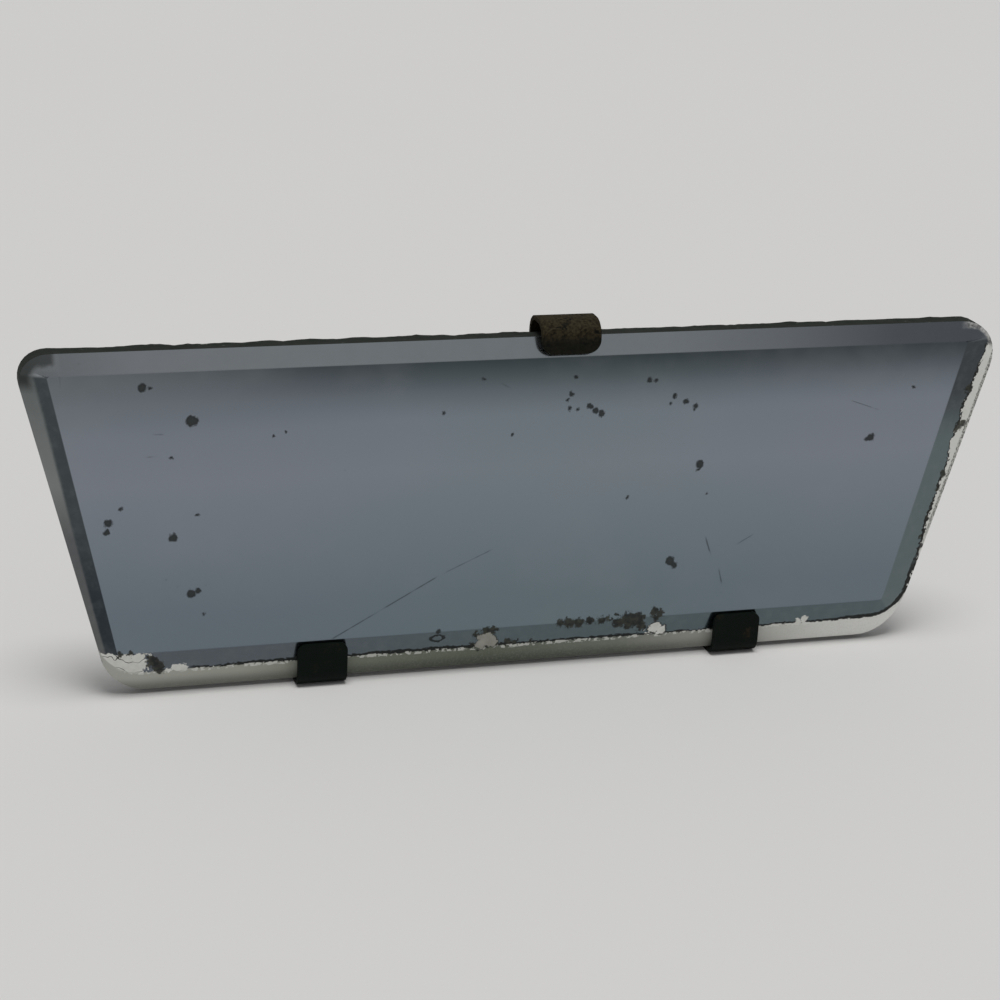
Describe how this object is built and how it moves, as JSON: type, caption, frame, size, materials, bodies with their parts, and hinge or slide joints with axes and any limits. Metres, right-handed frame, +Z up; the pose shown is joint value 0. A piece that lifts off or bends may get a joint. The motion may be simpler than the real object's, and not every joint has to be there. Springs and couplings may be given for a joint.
{
  "type": "interior rearview mirror",
  "caption": "Frameless bevelled rearview mirror, wide at the top, held by folded clips on a back plate, with a clamped ball socket and a low screw-down foot.",
  "frame": {"origin": "centre of the foot's underside, midway between its two screw holes", "axes": "+Z up, away from the panel the foot stands on; X along the mirror's length; the glass faces -Y"},
  "size_m": [0.1981, 0.0643, 0.074],
  "materials": {
    "silvered_glass": "bevelled plate glass, back silvered, blue-grey, worn and desilvered along its edges",
    "felt": "dark pressed felt",
    "painted_plate": "black-green baked enamel, chipped",
    "rusty_clip": "worn paint over brown rust, rough",
    "painted_clip": "black-green enamel, satin",
    "rivet_steel": "dull steel",
    "socket_steel": "dark enamel on pressed steel",
    "spring_steel": "oiled spring steel",
    "brass_cup": "turned brass",
    "fibre": "pressed fibre, greased",
    "plated_steel": "worn zinc plate",
    "cast_foot": "dark enamel on a casting",
    "rubber": "matt black rubber"
  },
  "bodies": {
    "foot": {"foot_bracket": "cast_foot", "foot_rubber": "rubber", "stud_washer": "plated_steel", "stud_lock_washer": "spring_steel", "stud_nut": "plated_steel"},
    "stud": {"ball_stud": "plated_steel"},
    "liner": {"ball_liner": "fibre"},
    "head": {"mirror_glass": "silvered_glass", "backing_felt": "felt", "back_plate": "painted_plate", "top_clip": "rusty_clip", "lower_clip_left": "painted_clip", "lower_clip_right": "painted_clip", "clip_rivets": "rivet_steel", "socket_base": "socket_steel", "socket_rivets": "rivet_steel", "disc_springs": "spring_steel", "pressure_cup": "brass_cup", "socket_cover": "socket_steel", "cover_screws": "plated_steel", "cover_lock_washers": "spring_steel", "cover_nuts": "plated_steel"}
  },
  "joints": [
    {"name": "roll", "type": "hinge", "parent": "foot", "child": "stud", "pos_m": [0, -0.03, 0.03585], "axis": [0, 1, 0], "range_deg": [-12, 12]},
    {"name": "pan", "type": "hinge", "parent": "stud", "child": "liner", "pos_m": [0, -0.03, 0.03585], "axis": [0, 0, 1], "range_deg": [-20, 20]},
    {"name": "tilt", "type": "hinge", "parent": "liner", "child": "head", "pos_m": [0, -0.03, 0.03585], "axis": [1, 0, 0], "range_deg": [-20, 20]}
  ]
}
